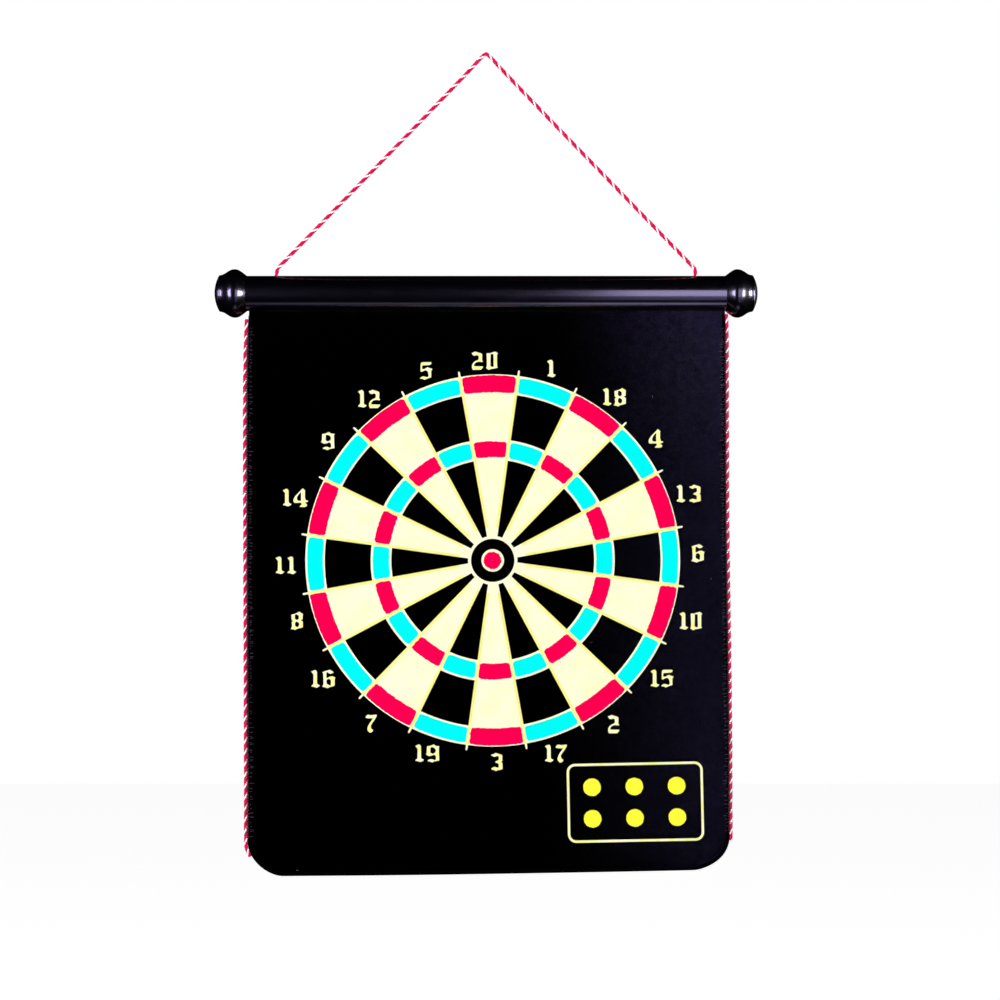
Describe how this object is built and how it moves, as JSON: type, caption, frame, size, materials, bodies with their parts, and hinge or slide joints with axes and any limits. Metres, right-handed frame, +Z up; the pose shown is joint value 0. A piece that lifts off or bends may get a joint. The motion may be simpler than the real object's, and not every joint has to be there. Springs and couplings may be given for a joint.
{
  "type": "roll-up magnetic dartboard",
  "caption": "Wall-hung magnetic dartboard: a felt-covered magnetic sheet with a printed dial and a parking box for darts, held in a slotted rod with round end caps and a hanging cord.",
  "frame": {"origin": "underside of the hanging cord at its apex, where a hook or nail carries it", "axes": "X along the rod, +Z up, +Y towards the wall; the printed target faces -Y"},
  "size_m": [0.4172, 0.0372, 0.6321],
  "materials": {
    "cord": "twisted red and white polyester cord",
    "trim_cord": "twisted red and white cord, sewn on",
    "rod_plastic": "satin black extruded plastic",
    "cap_plastic": "polished black moulded plastic",
    "bead_plastic": "plain extruded plastic",
    "magnetic_rubber": "ferrite-filled flexible magnetic sheet",
    "felt": "short black felt nap",
    "binding": "black folded tape",
    "thread": "dark sewing thread",
    "ink_cream": "cream ink printed on felt",
    "ink_red": "red ink printed on felt",
    "ink_cyan": "light blue-green ink printed on felt",
    "ink_yellow": "yellow ink printed on felt"
  },
  "bodies": {
    "hanger": {"hanging_cord": "cord"},
    "rod": {"rod_tube": "rod_plastic", "retaining_bead": "bead_plastic", "sheet_hem": "felt", "left_cord_knot": "cord", "right_cord_knot": "cord"},
    "sheet": {"magnetic_core": "magnetic_rubber", "front_felt": "felt", "back_felt": "felt", "edge_binding": "binding", "left_trim_cord": "trim_cord", "right_trim_cord": "trim_cord", "left_trim_stitches": "thread", "right_trim_stitches": "thread"},
    "left_cap": {"left_end_cap": "cap_plastic"},
    "right_cap": {"right_end_cap": "cap_plastic"}
  },
  "joints": [
    {"name": "rod_tilt", "type": "hinge", "parent": "hanger", "child": "rod", "pos_m": [0, 0, -0.1672], "axis": [1, 0, 0], "range_deg": [-80, 80]},
    {"name": "sheet_swing", "type": "hinge", "parent": "rod", "child": "sheet", "pos_m": [0, 0, -0.1978], "axis": [1, 0, 0], "range_deg": [-80, 80]},
    {"name": "left_cap_pull", "type": "slide", "parent": "rod", "child": "left_cap", "axis": [-1, 0, 0], "range_m": [0, 0.02]},
    {"name": "right_cap_pull", "type": "slide", "parent": "rod", "child": "right_cap", "axis": [1, 0, 0], "range_m": [0, 0.02]}
  ]
}
